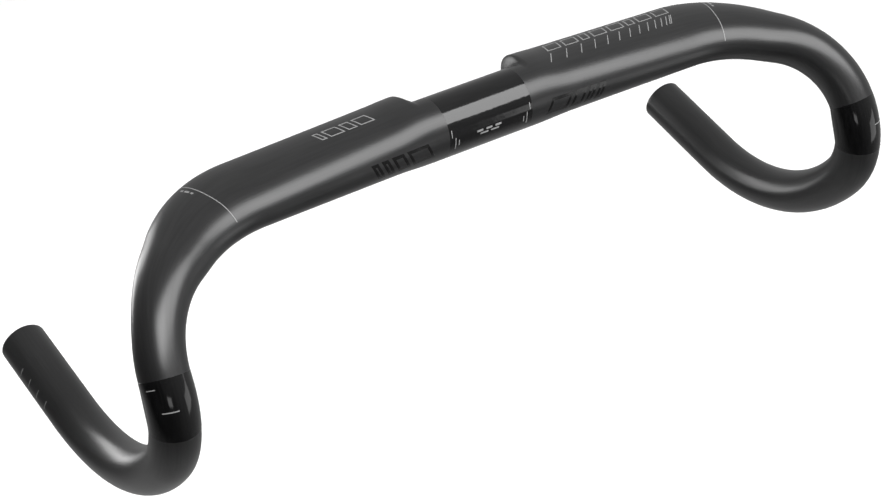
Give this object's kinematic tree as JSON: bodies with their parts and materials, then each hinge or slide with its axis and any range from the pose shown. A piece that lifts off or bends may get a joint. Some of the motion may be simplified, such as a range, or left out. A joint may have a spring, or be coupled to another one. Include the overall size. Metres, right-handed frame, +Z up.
{
  "type": "drop handlebar",
  "caption": "Road bicycle drop handlebar in moulded carbon, with a round stem clamp, tops that swell rearward into wings, and compact hooked drops.",
  "frame": {"origin": "centre of the stem clamp, on the axis of the round barrel", "axes": "+Z up, -Y forward, +X towards the rider's left, along the axis of the stem clamp"},
  "size_m": [0.446, 0.1634, 0.1575],
  "materials": {
    "carbon": "matte clear coat over black unidirectional carbon",
    "bare_laminate": "uncoated black carbon laminate",
    "gloss_lacquer": "gloss clear lacquer over black carbon",
    "gloss_black_print": "gloss black print",
    "light_print": "thin light grey print"
  },
  "bodies": {
    "root": {"top_moulding": "carbon", "left_drop": "carbon", "right_drop": "carbon", "left_joint_sleeve": "bare_laminate", "right_joint_sleeve": "bare_laminate", "clamp_reinforcement": "bare_laminate", "clamp_gloss_band": "gloss_lacquer", "left_lever_patch": "gloss_lacquer", "right_lever_patch": "gloss_lacquer", "left_front_mark": "gloss_black_print", "right_front_mark": "gloss_black_print", "centre_mark": "gloss_black_print", "clamp_scale": "light_print", "left_lever_scale": "light_print", "right_lever_scale": "light_print", "left_tape_line": "light_print", "right_tape_line": "light_print", "top_ruler": "light_print", "left_wing_mark": "light_print", "right_wing_mark": "light_print", "left_end_scale": "light_print", "right_end_scale": "light_print"}
  },
  "joints": []
}
